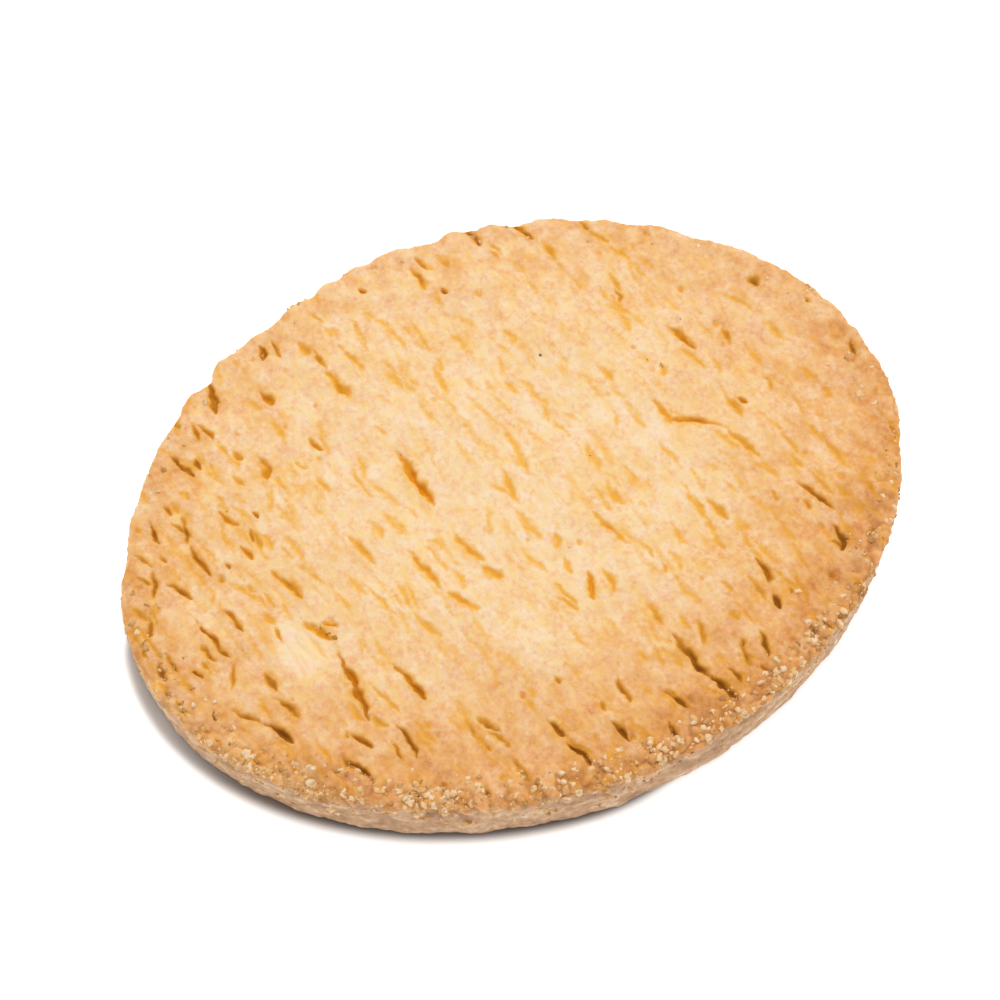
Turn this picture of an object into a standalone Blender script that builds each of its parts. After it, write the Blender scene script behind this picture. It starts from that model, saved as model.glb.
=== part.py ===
"""Lemon biscuit: one oval, baked flat, with the tears of its cut face and the sugar on its edge.

Units are metres, +Z is up. The origin is the middle of the underside, +X the long axis and
+Y the back. The dough was squeezed out and sliced with a wire, so the upper face is full of
short tears that all run across the oval, front to back.
"""

import math
import random

import bmesh
import bpy
from mathutils import Matrix, Vector, noise

MM = 0.001

# The whole biscuit
HALF_LENGTH = 40.0 * MM
HALF_WIDTH = 32.0 * MM
THICKNESS = 5.85 * MM
OVAL_CENTRE = Vector((0.0, -0.30 * MM))  # the outline is uneven, so its box is a little off centre
# How the outline leaves the true oval: waves around it, height and phase of each
OUTLINE_WAVES = {1: (0.25 * MM, 61), 2: (0.09 * MM, -73), 3: (0.16 * MM, -149), 4: (0.23 * MM, -12)}
# Crags along the outline, most of them at the back: turn and width in degrees, how far out
CRAGS = [
    (-14.0, 5.0, 0.35 * MM),
    (28.0, 4.0, 0.25 * MM),
    (36.0, 3.5, -0.30 * MM),
    (42.5, 2.5, 0.30 * MM),
    (51.0, 2.0, 0.25 * MM),
    (59.0, 3.0, 0.45 * MM),
    (64.7, 1.5, -0.30 * MM),
    (68.7, 2.0, 0.60 * MM),
    (74.5, 1.6, 0.40 * MM),
    (77.2, 1.5, -0.40 * MM),
    (84.0, 2.5, 0.50 * MM),
    (90.0, 1.6, 0.55 * MM),
    (94.8, 1.5, 0.30 * MM),
    (98.0, 2.0, -0.35 * MM),
    (105.0, 3.0, -0.40 * MM),
    (114.8, 2.2, 0.50 * MM),
    (119.0, 1.6, -0.45 * MM),
    (123.5, 2.5, 0.45 * MM),
    (131.0, 2.0, 0.20 * MM),
    (152.0, 4.5, -0.40 * MM),
    (167.0, 4.0, 0.25 * MM),
]
GRID_CELLS = 32  # along each side of the square that is rounded into the oval

# Section through the edge, from the upper face outward and down: inset from the outline in
# millimetres, height as a share of the rim's. The side is nearly upright, with a small lower corner.
EDGE_SECTION = [
    (0.35, 0.985),
    (0.10, 0.940),
    (0.00, 0.860),
    (0.00, 0.620),
    (0.00, 0.380),
    (0.03, 0.200),
    (0.12, 0.110),
    (0.36, 0.040),
    (0.85, 0.000),
]
TOP_INSET = 0.75 * MM
LEAN = 0.65 * MM  # the foot of the side stands in from its head
FLARE = 0.95 * MM  # but less and less towards the front, where it stands out a little
FLARE_TURN = math.radians(-112)
CRUMBLE_DEPTH = 0.30 * MM
CRUMBLE_SIZE = 3.1 * MM

# The upper face: it falls gently towards the edge, and low swells run across it: height, length,
# heading in degrees and phase of each
EDGE_FALL = 0.30 * MM
SWELLS = [
    (0.10 * MM, 17.0 * MM, 25, 0.4),
    (0.08 * MM, 11.0 * MM, 110, 1.9),
    (0.06 * MM, 7.3 * MM, 68, 4.0),
]

# Tears of the cut face in millimetres from the oval's middle: back end, front end, how far the
# middle bows towards +X, width and depth
TEARS = [
    (-19.0, 28.6, -20.5, 23.7, 0.2, 0.8, 1.0),
    (-24.7, 25.9, -24.2, 23.9, 0.0, 0.7, 0.6),
    (-23.2, 24.4, -23.5, 21.6, 0.2, 0.6, 0.7),
    (-26.9, 21.9, -25.6, 18.0, 0.1, 0.7, 0.9),
    (-15.3, 24.2, -15.0, 21.9, 0.1, 1.1, 1.0),
    (-13.2, 29.3, -13.5, 27.0, 0.5, 0.7, 1.0),
    (-19.3, 17.4, -19.7, 14.2, 0.3, 0.9, 0.8),
    (-30.0, 17.2, -29.9, 15.3, 0.2, 0.7, 0.7),
    (-28.9, 15.3, -30.0, 11.8, 0.2, 0.7, 0.8),
    (-29.8, 11.9, -29.4, 7.4, -0.2, 0.8, 0.9),
    (-34.7, 13.6, -34.0, 11.0, -0.1, 0.6, 0.6),
    (-34.4, 11.1, -35.5, 7.8, 0.2, 0.7, 0.7),
    (-33.9, 9.2, -32.3, 6.0, 0.1, 0.8, 0.8),
    (-36.7, 6.9, -38.1, 4.2, 0.1, 0.7, 0.7),
    (-33.5, 4.3, -32.5, -1.8, 0.2, 0.7, 0.9),
    (-32.4, -1.8, -34.1, -4.9, 0.3, 0.5, 0.6),
    (-30.6, 4.0, -29.9, 0.1, 0.2, 0.7, 0.8),
    (-35.4, -6.3, -33.0, -9.4, 0.2, 0.8, 0.7),
    (-33.2, -9.0, -31.6, -12.9, 0.4, 0.8, 1.0),
    (-31.0, -7.2, -29.8, -10.9, 0.3, 0.7, 0.7),
    (-24.6, 5.4, -23.1, 0.6, 0.2, 0.9, 0.8),
    (-24.7, -1.1, -22.6, -4.8, -0.1, 0.9, 0.8),
    (-23.3, -5.4, -24.3, -14.4, 0.4, 0.9, 1.1),
    (-19.4, -9.3, -18.5, -15.2, 0.3, 0.8, 0.9),
    (-16.4, 5.6, -15.2, 0.0, 0.1, 0.7, 0.5),
    (-22.2, -15.1, -22.2, -20.3, 0.3, 0.7, 0.8),
    (-26.9, -14.2, -25.4, -17.2, 0.4, 0.7, 0.8),
    (-28.5, -16.3, -27.0, -20.4, 0.4, 0.7, 1.0),
    (-33.7, -16.9, -31.2, -19.1, 0.2, 0.6, 0.8),
    (-15.4, -18.6, -14.1, -21.8, 0.1, 0.7, 0.7),
    (-37.6, -10.6, -36.5, -13.7, 0.2, 0.6, 0.7),
    (-8.5, 23.2, -8.0, 18.4, 0.0, 1.0, 0.7),
    (-9.4, 27.4, -8.9, 25.2, 0.1, 1.0, 0.6),
    (-7.3, 11.4, -6.9, 3.4, 0.0, 1.0, 1.1),
    (-11.9, 0.8, -11.0, -5.4, 0.0, 0.8, 0.7),
    (-11.1, -5.2, -8.9, -9.0, -0.1, 0.7, 0.6),
    (-7.1, 0.4, -5.8, -4.6, -0.2, 0.8, 0.6),
    (-6.8, -4.4, -5.2, -7.1, 0.1, 0.9, 0.9),
    (0.9, 4.6, 0.1, -0.6, 0.1, 0.9, 0.5),
    (5.0, 30.0, 4.9, 26.2, 0.1, 0.8, 0.7),
    (11.9, 31.8, 12.6, 28.3, 0.1, 0.8, 0.8),
    (16.2, 30.5, 17.6, 26.3, 0.1, 0.8, 0.9),
    (18.2, 26.2, 18.2, 22.8, 0.3, 0.9, 0.6),
    (22.6, 27.0, 23.4, 24.6, 0.0, 0.7, 0.6),
    (5.6, -4.2, 7.0, -10.0, 0.2, 0.7, 0.6),
    (2.2, -10.0, 1.0, -13.6, 0.1, 0.8, 0.9),
    (3.2, -10.7, 3.3, -13.9, 0.3, 0.7, 0.6),
    (5.5, -15.6, 5.3, -19.2, 0.0, 0.8, 0.6),
    (5.6, -19.8, 6.4, -26.4, -0.2, 1.1, 1.1),
    (6.2, -25.6, 7.3, -29.8, 0.2, 1.0, 1.2),
    (16.4, -8.6, 16.9, -12.4, 0.1, 0.8, 0.6),
    (17.0, -16.8, 16.6, -20.6, 0.3, 0.8, 0.9),
    (16.4, -21.2, 16.2, -23.4, 0.0, 0.7, 0.9),
    (17.7, 4.2, 18.1, -0.2, 0.2, 0.8, 0.6),
    (22.4, -3.2, 17.6, 0.8, -0.6, 0.8, 0.8),
    (22.0, -2.8, 23.5, -7.8, 0.1, 0.8, 0.6),
    (23.5, 10.8, 24.8, 6.3, 0.2, 0.9, 0.8),
    (24.6, 1.1, 24.5, -2.9, 0.0, 0.8, 0.6),
    (25.0, -11.4, 26.8, -16.9, 0.1, 0.8, 0.8),
    (25.7, -17.4, 24.8, -20.8, 0.3, 0.9, 1.0),
    (-9.7, -22.4, -9.0, -25.0, 0.1, 0.9, 1.0),
    (-9.2, -25.2, -8.3, -28.8, 0.1, 0.8, 1.0),
    (-4.6, -25.4, -3.8, -28.6, 0.1, 0.8, 0.9),
    (-1.5, -21.3, -1.9, -25.2, 0.1, 0.7, 0.7),
    (1.5, -25.0, 2.9, -28.4, 0.1, 0.7, 0.8),
    (0.4, -28.0, 0.0, -30.9, 0.0, 0.6, 0.8),
    (12.9, -23.8, 12.2, -27.2, 0.4, 0.7, 0.8),
    (10.9, -27.2, 11.9, -29.3, 0.1, 0.6, 0.7),
    (34.0, 11.6, 34.6, 9.9, 0.0, 1.0, 0.7),
    (-24.3, -22.3, -23.8, -24.3, 0.0, 0.6, 0.8),
    (-21.6, -23.2, -21.6, -26.0, -0.2, 0.7, 0.8),
]
TEAR_SIDES = 4
TEAR_RINGS = 6

# Grains of coarse sugar: the edge that faces the front caught most of them
GRAIN_COUNT = 46
GRAIN_RADIUS = (0.30 * MM, 0.52 * MM)
GRAIN_LUMPS = (0.82, 1.12)  # corners of a grain, as shares of its radius
GRAIN_SUNK = 0.25  # how far its middle lies below the face, as a share of its radius
GRAIN_INSETS = (0.2 * MM, 0.4 * MM, 0.8 * MM, 1.3 * MM, 2.0 * MM)
GRAIN_SPREAD = 0.5 * MM
GRAIN_SEED = 11
FRONT_SHARE = 0.72
FRONT_TURNS = (-150, -56)
RIM_INSET = 0.8 * MM  # grains nearer the edge than this lie on its rounding
RIM_DROP = 0.25 * MM

DOUGH_COLOUR = (0.80, 0.53, 0.27, 1.0)
SUGAR_COLOUR = (0.92, 0.85, 0.72, 1.0)


def clear_scene():
    for thing in list(bpy.data.objects):
        bpy.data.objects.remove(thing, do_unlink=True)


def new_collection(name):
    collection = bpy.data.collections.new(name)
    bpy.context.scene.collection.children.link(collection)
    return collection


def material(name, colour, roughness):
    mat = bpy.data.materials.new(name)
    mat.use_nodes = True
    shader = mat.node_tree.nodes["Principled BSDF"]
    shader.inputs["Base Color"].default_value = colour
    shader.inputs["Roughness"].default_value = roughness
    shader.inputs["Metallic"].default_value = 0.0
    return mat


def outline(turn, inset=0.0):
    """Point of the outline at a turn (radians) around the oval, moved in by an inset."""
    wave = sum(height * math.cos(count * turn - math.radians(phase))
               for count, (height, phase) in OUTLINE_WAVES.items())
    crag = sum(height * math.exp(-((math.degrees(turn) - middle) / width) ** 2)
               for middle, width, height in CRAGS)
    out = wave + crag - inset
    return OVAL_CENTRE + Vector(((HALF_LENGTH + out) * math.cos(turn), (HALF_WIDTH + out) * math.sin(turn)))


def top_height(place):
    """Height of the upper face over a point, before tears."""
    away = place - OVAL_CENTRE
    share = math.hypot(away.x / HALF_LENGTH, away.y / HALF_WIDTH)
    height = THICKNESS - EDGE_FALL * share ** 4
    for size, length, heading, start in SWELLS:
        along = away.x * math.cos(math.radians(heading)) + away.y * math.sin(math.radians(heading))
        height += size * math.sin(2 * math.pi * along / length + start)
    return height


def rounded_square(x, y):
    """Turn and share of the way out, for a point of the square from -1 to 1."""
    across = x * math.sqrt(1 - y * y / 2)
    along = y * math.sqrt(1 - x * x / 2)
    return math.atan2(along, across), min(1.0, math.hypot(across, along))


def crumble(place, height):
    """How far the baked edge stands proud of its outline at a point."""
    return CRUMBLE_DEPTH * noise.noise(Vector((place.x, place.y, height)) / CRUMBLE_SIZE)


def edge_point(turn, inset, level):
    """Point of the rounded edge, side or lower corner, from its row of the edge section."""
    height = top_height(outline(turn, TOP_INSET)) * level
    lean = LEAN - FLARE * max(0.0, math.cos(turn - FLARE_TURN)) ** 2
    inset += lean * (1 - level)
    smooth = outline(turn, inset)
    place = outline(turn, inset - crumble(smooth, height)) if level > 0 else smooth
    return Vector((place.x, place.y, height))


def build_slab():
    """The dough as it was sliced: upper face, rounded edge, side and flat underside."""
    bm = bmesh.new()
    bmesh.ops.create_grid(bm, x_segments=GRID_CELLS, y_segments=GRID_CELLS, size=1.0)
    turns = {}
    for vert in bm.verts:
        turn, share = rounded_square(vert.co.x, vert.co.y)
        if vert.is_boundary:
            turns[vert] = turn
            share = 1.0
        place = OVAL_CENTRE + (outline(turn, TOP_INSET) - OVAL_CENTRE) * share
        vert.co = (place.x, place.y, top_height(place))

    edges = [edge for edge in bm.edges if edge.is_boundary]
    for inset, level in EDGE_SECTION:
        grown = bmesh.ops.extrude_edge_only(bm, edges=edges)["geom"]
        edges = [item for item in grown if isinstance(item, bmesh.types.BMEdge) and item.is_boundary]
        lower = {}
        for vert in [item for item in grown if isinstance(item, bmesh.types.BMVert)]:
            above = next(edge.other_vert(vert) for edge in vert.link_edges if edge.other_vert(vert) in turns)
            lower[vert] = turns[above]
            vert.co = edge_point(turns[above], inset * MM, level)
        turns = lower
    bmesh.ops.contextual_create(bm, geom=edges)
    bmesh.ops.recalc_face_normals(bm, faces=bm.faces)
    bmesh.ops.triangulate(bm, faces=[face for face in bm.faces if len(face.verts) == 4])
    return bm


def object_from(bm, name, collection, mat):
    mesh = bpy.data.meshes.new(name)
    bm.to_mesh(mesh)
    bm.free()
    mesh.materials.append(mat)
    thing = bpy.data.objects.new(name, mesh)
    collection.objects.link(thing)
    return thing


def build_tear(index, row, collection, mat):
    """A spindle that cuts one tear: pointed at both ends, bowed, deepest in the middle."""
    back_x, back_y, front_x, front_y, bow, width, depth = row
    back = OVAL_CENTRE + Vector((back_x, back_y)) * MM
    front = OVAL_CENTRE + Vector((front_x, front_y)) * MM
    run = back - front
    middle = (back + front) / 2
    bm = bmesh.new()
    bmesh.ops.create_uvsphere(bm, u_segments=TEAR_SIDES, v_segments=TEAR_RINGS, radius=1.0)
    for vert in bm.verts:
        share = vert.co.z
        side = vert.co.x * width * MM / 2 + bow * MM * (1 - share * share)
        place = middle + run * share / 2 + Vector((run.y, -run.x)).normalized() * side
        vert.co = (place.x, place.y, top_height(place) - vert.co.y * depth * MM)
    cutter = object_from(bm, f"tear_{index}", collection, mat)
    cutter.hide_render = True
    cutter.display_type = "WIRE"
    return cutter


def grain_place(draw):
    """Where one grain of sugar lies: on the edge, seven in ten of them on its front half."""
    if draw.random() < FRONT_SHARE:
        turn = math.radians(draw.uniform(*FRONT_TURNS))
    else:
        turn = math.radians(draw.uniform(-180, 180))
    inset = draw.choice(GRAIN_INSETS) + draw.uniform(0, GRAIN_SPREAD)
    place = outline(turn, inset)
    drop = RIM_DROP if inset < RIM_INSET else 0.0
    return Vector((place.x, place.y, top_height(place) - drop))


def build_grain(index, radius, draw, collection, mat):
    """One grain: a lump with flat sides, sunk by about half into the dough."""
    bm = bmesh.new()
    bmesh.ops.create_icosphere(bm, subdivisions=1, radius=radius)
    for vert in bm.verts:
        vert.co *= draw.uniform(*GRAIN_LUMPS)
    spin = Matrix.Rotation(draw.uniform(0, math.tau), 4, Vector((draw.random(), draw.random(), 1)))
    bmesh.ops.transform(bm, matrix=spin, verts=bm.verts)
    centre = grain_place(draw) - Vector((0, 0, GRAIN_SUNK * radius))
    bmesh.ops.translate(bm, vec=centre, verts=bm.verts)
    return object_from(bm, f"grain_{index}", collection, mat)


def combine(target, operation, collection):
    """One Boolean with every object of a collection, applied, after which they are removed."""
    boolean = target.modifiers.new(operation.lower(), "BOOLEAN")
    boolean.operation = operation
    boolean.operand_type = "COLLECTION"
    boolean.collection = collection
    boolean.solver = "EXACT"
    boolean.material_mode = "TRANSFER"
    evaluated = target.evaluated_get(bpy.context.evaluated_depsgraph_get())
    joined = bpy.data.meshes.new_from_object(evaluated)
    target.modifiers.clear()
    target.data = joined
    for thing in list(collection.objects):
        bpy.data.objects.remove(thing, do_unlink=True)
    bpy.data.collections.remove(collection)


def main():
    clear_scene()
    parts = new_collection("lemon_biscuit")
    dough = material("baked_lemon_dough", DOUGH_COLOUR, 0.85)
    sugar = material("coarse_sugar", SUGAR_COLOUR, 0.45)
    biscuit = object_from(build_slab(), "biscuit", parts, dough)

    tears = new_collection("tears")
    for index, row in enumerate(TEARS):
        build_tear(index, row, tears, dough)
    combine(biscuit, "DIFFERENCE", tears)

    grains = new_collection("grains")
    draw = random.Random(GRAIN_SEED)
    radii = sorted((draw.uniform(*GRAIN_RADIUS) for _ in range(GRAIN_COUNT)), reverse=True)
    for index, radius in enumerate(radii):
        build_grain(index, radius, draw, grains, sugar)
    combine(biscuit, "UNION", grains)

    biscuit.data.shade_smooth()
    biscuit.data.set_sharp_from_angle(angle=math.radians(40))


main()
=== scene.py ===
# %% [markdown]
# # A lemon biscuit
# A thin oval biscuit, baked flat. Its dough was pressed out in a log and sliced with a wire. The wire
# drags the crumbly dough, so the cut face is full of short tears that all run the same way, and the
# oven then browns what stands proud and what lies near the edge. Coarse sugar sticks to the rim.
#
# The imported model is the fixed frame: its box and its one body. Everything below is fitted to it.

# %% Load the frame
import math
import random

import bmesh
import bpy
import numpy as np
from mathutils import Matrix, Vector, noise


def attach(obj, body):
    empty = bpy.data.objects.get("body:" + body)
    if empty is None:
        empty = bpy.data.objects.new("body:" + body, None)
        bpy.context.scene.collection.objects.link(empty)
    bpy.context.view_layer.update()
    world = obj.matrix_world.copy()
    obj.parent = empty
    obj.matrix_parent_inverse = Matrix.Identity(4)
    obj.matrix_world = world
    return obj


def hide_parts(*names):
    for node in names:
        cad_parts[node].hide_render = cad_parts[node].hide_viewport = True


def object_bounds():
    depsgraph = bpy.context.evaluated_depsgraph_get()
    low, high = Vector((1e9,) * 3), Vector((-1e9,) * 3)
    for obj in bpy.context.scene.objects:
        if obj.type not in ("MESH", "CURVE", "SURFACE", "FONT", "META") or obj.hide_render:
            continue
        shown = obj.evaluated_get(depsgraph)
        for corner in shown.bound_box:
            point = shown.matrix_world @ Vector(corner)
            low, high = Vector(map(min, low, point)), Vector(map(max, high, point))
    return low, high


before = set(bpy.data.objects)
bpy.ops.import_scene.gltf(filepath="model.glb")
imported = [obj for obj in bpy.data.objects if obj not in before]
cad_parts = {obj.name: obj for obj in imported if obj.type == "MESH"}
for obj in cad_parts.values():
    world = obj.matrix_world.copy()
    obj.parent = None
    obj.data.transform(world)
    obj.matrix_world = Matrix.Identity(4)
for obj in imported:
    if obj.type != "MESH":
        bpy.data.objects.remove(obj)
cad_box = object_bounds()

print("CAD box in mm:", [[round(1000 * value, 2) for value in corner] for corner in cad_box])

# %% [markdown]
# ## The form of the whole biscuit
# A hand-cut oval is never a true ellipse. It could be drawn as a curve with many points, but an ellipse
# with a few slow waves round it says the same in four lines, and the waves can be read: one slow wave
# shifts the oval, two make it fatter, three and four give it soft corners. All lengths here are in
# millimetres and are turned to metres only when a mesh is made.

# %% The oval and the height of its upper face
MM = 0.001
HALF_LENGTH, HALF_WIDTH, THICKNESS = 40.0, 32.0, 5.85
CENTRE_X, CENTRE_Y = 0.0, -0.30
OUTLINE_WAVES = {1: (0.25, 61), 2: (0.09, -73), 3: (0.16, -149), 4: (0.23, -12)}  # height, phase
CRAGS = [(-14.0, 5.0, 0.35), (28.0, 4.0, 0.25), (36.0, 3.5, -0.30), (42.5, 2.5, 0.30), (51.0, 2.0, 0.25),
         (59.0, 3.0, 0.45), (64.7, 1.5, -0.30), (68.7, 2.0, 0.60), (74.5, 1.6, 0.40), (77.2, 1.5, -0.40),
         (84.0, 2.5, 0.50), (90.0, 1.6, 0.55), (94.8, 1.5, 0.30), (98.0, 2.0, -0.35), (105.0, 3.0, -0.40),
         (114.8, 2.2, 0.50), (119.0, 1.6, -0.45), (123.5, 2.5, 0.45), (131.0, 2.0, 0.20), (152.0, 4.5, -0.40),
         (167.0, 4.0, 0.25)]  # turn and width in degrees, how far out
EDGE_FALL = 0.30
SWELLS = [(0.10, 17.0, 25, 0.4), (0.08, 11.0, 110, 1.9), (0.06, 7.3, 68, 4.0)]  # height, length, heading, phase
TOP_INSET = 0.75


def outline(turn, inset=0.0):
    """Points of the outline at turns in radians, moved in by an inset."""
    wave = sum(height * np.cos(count * turn - math.radians(phase))
               for count, (height, phase) in OUTLINE_WAVES.items())
    degrees = (np.degrees(turn) + 180) % 360 - 180
    crag = sum(height * np.exp(-((degrees - middle) / width) ** 2) for middle, width, height in CRAGS)
    x = CENTRE_X + (HALF_LENGTH + wave + crag - inset) * np.cos(turn)
    y = CENTRE_Y + (HALF_WIDTH + wave + crag - inset) * np.sin(turn)
    return x, y


def top_height(x, y):
    """Height of the upper face before its tears: a gentle fall to the edge, with low swells."""
    share = np.hypot((x - CENTRE_X) / HALF_LENGTH, (y - CENTRE_Y) / HALF_WIDTH)
    height = THICKNESS - EDGE_FALL * share ** 4
    for size, length, heading, start in SWELLS:
        along = (x - CENTRE_X) * math.cos(math.radians(heading)) + (y - CENTRE_Y) * math.sin(math.radians(heading))
        height = height + size * np.sin(2 * math.pi * along / length + start)
    return height


def noise_at(x, y, z, size):
    """Smooth noise from -1 to 1 at each point, with lumps of a given size in millimetres."""
    size = np.broadcast_to(size, (3,))
    points = np.stack([x / size[0], y / size[1], z / size[2]], axis=-1)
    return np.array([noise.noise(Vector(point)) for point in points.tolist()])


def billow_at(x, y, z, size):
    """Torn lumps with soft creases between them, from 0 in a crease to 1 on a lump: folded noise in two sizes."""
    total = np.zeros_like(x)
    for octave, weight in ((1.0, 1.0), (0.55, 0.5)):
        folded = np.sqrt(noise_at(x + 50 * octave, y, z, np.array(size) * octave) ** 2 + 0.01) - 0.1
        total += weight * folded
    return np.clip(total / 0.45, 0, 1)


SIDES = (0.0, math.pi / 2, math.pi, 1.5 * math.pi)
print("outline at four sides:", [np.round(outline(np.array(turn)), 2).tolist() for turn in SIDES])

# %% [markdown]
# ## The tears of the cut face
# On the real biscuit each tear is a wedge: a hairline at the end where the wire came from, then wider and
# deeper, with a blunt end. They could be Boolean cuts, but a cut leaves hard edges and soft dough has
# none, so here they are read as a depth at each point of the mesh. The deep ones are listed, because they
# are what makes this biscuit this one. The row is back end, front end, bow of the middle towards +X, width
# and depth.

# %% Deep tears
TEARS = [
    (-19.0, 28.6, -20.5, 23.7, 0.2, 0.8, 1.0),
    (-24.7, 25.9, -24.2, 23.9, 0.0, 0.7, 0.6),
    (-23.2, 24.4, -23.5, 21.6, 0.2, 0.6, 0.7),
    (-26.9, 21.9, -25.6, 18.0, 0.1, 0.7, 0.9),
    (-15.3, 24.2, -15.0, 21.9, 0.1, 1.1, 1.0),
    (-13.2, 29.3, -13.5, 27.0, 0.5, 0.7, 1.0),
    (-19.3, 17.4, -19.7, 14.2, 0.3, 0.9, 0.8),
    (-30.0, 17.2, -29.9, 15.3, 0.2, 0.7, 0.7),
    (-28.9, 15.3, -30.0, 11.8, 0.2, 0.7, 0.8),
    (-29.8, 11.9, -29.4, 7.4, -0.2, 0.8, 0.9),
    (-34.7, 13.6, -34.0, 11.0, -0.1, 0.6, 0.6),
    (-34.4, 11.1, -35.5, 7.8, 0.2, 0.7, 0.7),
    (-33.9, 9.2, -32.3, 6.0, 0.1, 0.8, 0.8),
    (-36.7, 6.9, -38.1, 4.2, 0.1, 0.7, 0.7),
    (-33.5, 4.3, -32.5, -1.8, 0.2, 0.7, 0.9),
    (-32.4, -1.8, -34.1, -4.9, 0.3, 0.5, 0.6),
    (-30.6, 4.0, -29.9, 0.1, 0.2, 0.7, 0.8),
    (-35.4, -6.3, -33.0, -9.4, 0.2, 0.8, 0.7),
    (-33.2, -9.0, -31.6, -12.9, 0.4, 0.8, 1.0),
    (-31.0, -7.2, -29.8, -10.9, 0.3, 0.7, 0.7),
    (-24.6, 5.4, -23.1, 0.6, 0.2, 0.9, 0.8),
    (-24.7, -1.1, -22.6, -4.8, -0.1, 0.9, 0.8),
    (-23.3, -5.4, -24.3, -14.4, 0.4, 0.9, 1.1),
    (-19.4, -9.3, -18.5, -15.2, 0.3, 0.8, 0.9),
    (-16.4, 5.6, -15.2, 0.0, 0.1, 0.7, 0.5),
    (-22.2, -15.1, -22.2, -20.3, 0.3, 0.7, 0.8),
    (-26.9, -14.2, -25.4, -17.2, 0.4, 0.7, 0.8),
    (-28.5, -16.3, -27.0, -20.4, 0.4, 0.7, 1.0),
    (-33.7, -16.9, -31.2, -19.1, 0.2, 0.6, 0.8),
    (-15.4, -18.6, -14.1, -21.8, 0.1, 0.7, 0.7),
    (-37.6, -10.6, -36.5, -13.7, 0.2, 0.6, 0.7),
    (-8.5, 23.2, -8.0, 18.4, 0.0, 1.0, 0.7),
    (-9.4, 27.4, -8.9, 25.2, 0.1, 1.0, 0.6),
    (-7.3, 11.4, -6.9, 3.4, 0.0, 1.0, 1.1),
    (-11.9, 0.8, -11.0, -5.4, 0.0, 0.8, 0.7),
    (-11.1, -5.2, -8.9, -9.0, -0.1, 0.7, 0.6),
    (-7.1, 0.4, -5.8, -4.6, -0.2, 0.8, 0.6),
    (-6.8, -4.4, -5.2, -7.1, 0.1, 0.9, 0.6),
    (0.9, 4.6, 0.1, -0.6, 0.1, 0.9, 0.5),
    (5.0, 30.0, 4.9, 26.2, 0.1, 0.8, 0.7),
    (11.9, 31.8, 12.6, 28.3, 0.1, 0.8, 0.8),
    (16.2, 30.5, 17.6, 26.3, 0.1, 0.8, 0.9),
    (18.2, 26.2, 18.2, 22.8, 0.3, 0.9, 0.6),
    (22.6, 27.0, 23.4, 24.6, 0.0, 0.7, 0.6),
    (5.6, -4.2, 7.0, -10.0, 0.2, 0.7, 0.6),
    (2.2, -10.0, 1.0, -13.6, 0.1, 0.8, 0.9),
    (3.2, -10.7, 3.3, -13.9, 0.3, 0.7, 0.6),
    (5.5, -15.6, 5.3, -19.2, 0.0, 0.8, 0.6),
    (5.6, -19.8, 6.4, -26.4, -0.2, 1.1, 1.1),
    (6.2, -25.6, 7.3, -29.8, 0.2, 1.0, 1.2),
    (16.4, -8.6, 16.9, -12.4, 0.1, 0.8, 0.6),
    (17.0, -16.8, 16.6, -20.6, 0.3, 0.8, 0.9),
    (16.4, -21.2, 16.2, -23.4, 0.0, 0.7, 0.9),
    (17.7, 4.2, 18.1, -0.2, 0.2, 0.8, 0.6),
    (22.4, -3.2, 17.6, 0.8, -0.6, 0.8, 0.8),
    (22.0, -2.8, 23.5, -7.8, 0.1, 0.8, 0.6),
    (23.5, 10.8, 24.8, 6.3, 0.2, 0.9, 0.8),
    (24.6, 1.1, 24.5, -2.9, 0.0, 0.8, 0.6),
    (25.0, -11.4, 26.8, -16.9, 0.1, 0.8, 0.8),
    (25.7, -17.4, 24.8, -20.8, 0.3, 0.9, 1.0),
    (-9.7, -22.4, -9.0, -25.0, 0.1, 0.9, 1.0),
    (-9.2, -25.2, -8.3, -28.8, 0.1, 0.8, 1.0),
    (-4.6, -25.4, -3.8, -28.6, 0.1, 0.8, 0.9),
    (-1.5, -21.3, -1.9, -25.2, 0.1, 0.7, 0.7),
    (1.5, -25.0, 2.9, -28.4, 0.1, 0.7, 0.8),
    (0.4, -28.0, 0.0, -30.9, 0.0, 0.6, 0.8),
    (12.9, -23.8, 12.2, -27.2, 0.4, 0.7, 0.8),
    (10.9, -27.2, 11.9, -29.3, 0.1, 0.6, 0.7),
    (34.0, 11.6, 34.6, 9.9, 0.0, 1.0, 0.7),
    (-24.3, -22.3, -23.8, -24.3, 0.0, 0.6, 0.8),
    (-21.6, -23.2, -21.6, -26.0, -0.2, 0.7, 0.8),
]
print(len(TEARS), "deep tears")

# %% [markdown]
# Between the deep tears the face is combed with faint ones. The clearest of these are listed too, the same
# way but without a bow. The rest are so many and so small that only their habit matters: they come in
# chains and lean a little to the front right. Near the edge the dough crumbles, and short gaps lie between
# the crumbs, which keep less strictly to one direction. A few of those are listed as well, by their ends.

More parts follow.
